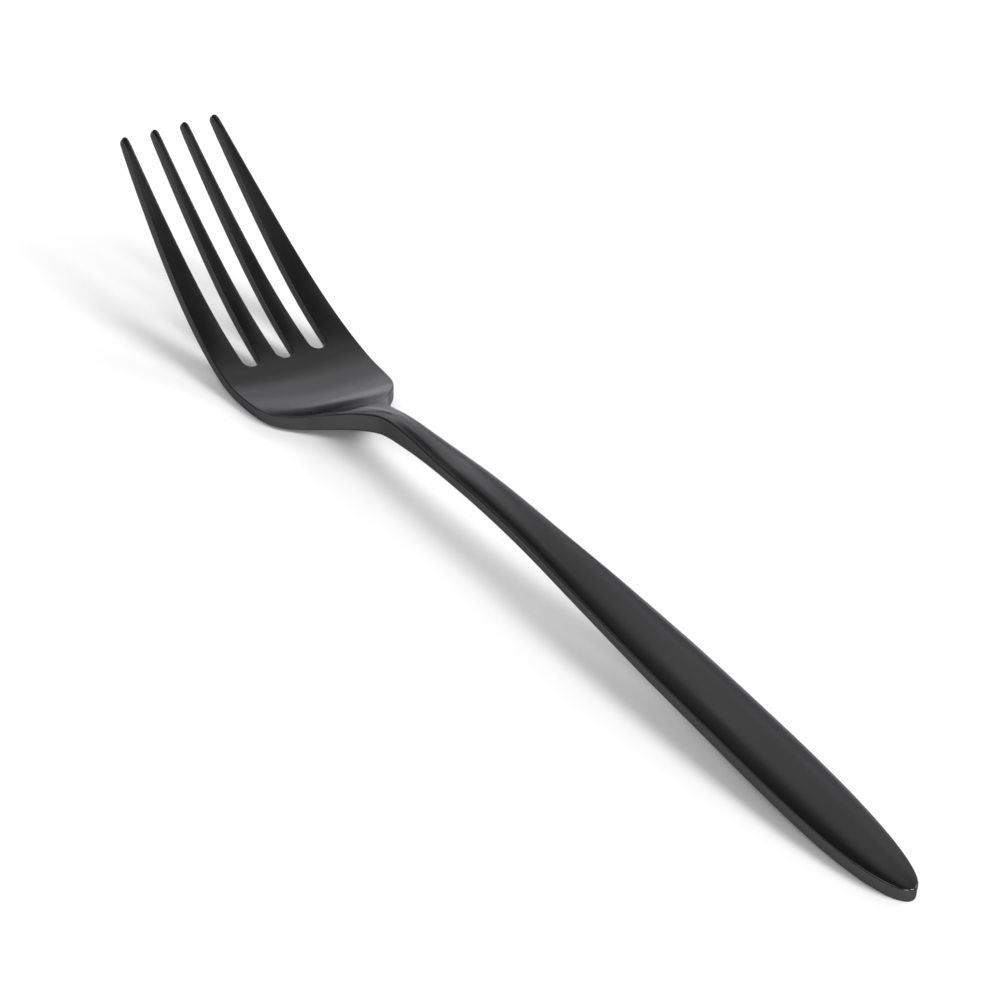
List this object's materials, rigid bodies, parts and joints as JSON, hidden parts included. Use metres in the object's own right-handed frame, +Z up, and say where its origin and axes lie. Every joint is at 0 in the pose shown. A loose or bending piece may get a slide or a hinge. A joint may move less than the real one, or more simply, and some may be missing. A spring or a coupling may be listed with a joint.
{
  "type": "dinner fork",
  "caption": "Slim dinner fork in one piece of black-coated steel, with a leaf-shaped handle, a narrow neck, rounded shoulders and long curved tines, lying tines up.",
  "frame": {"origin": "on the table, under the middle of the fork's length and width, as it lies tines up", "axes": "+X along the fork towards the tine tips, +Y to the fork's left seen from the handle, +Z up out of the table"},
  "size_m": [0.2062, 0.0262, 0.0259],
  "materials": {
    "coated_steel": "satin black coat on stainless steel"
  },
  "bodies": {
    "root": {"handle": "coated_steel", "neck": "coated_steel", "root": "coated_steel", "tine_1": "coated_steel", "tine_2": "coated_steel", "tine_3": "coated_steel", "tine_4": "coated_steel"}
  },
  "joints": []
}
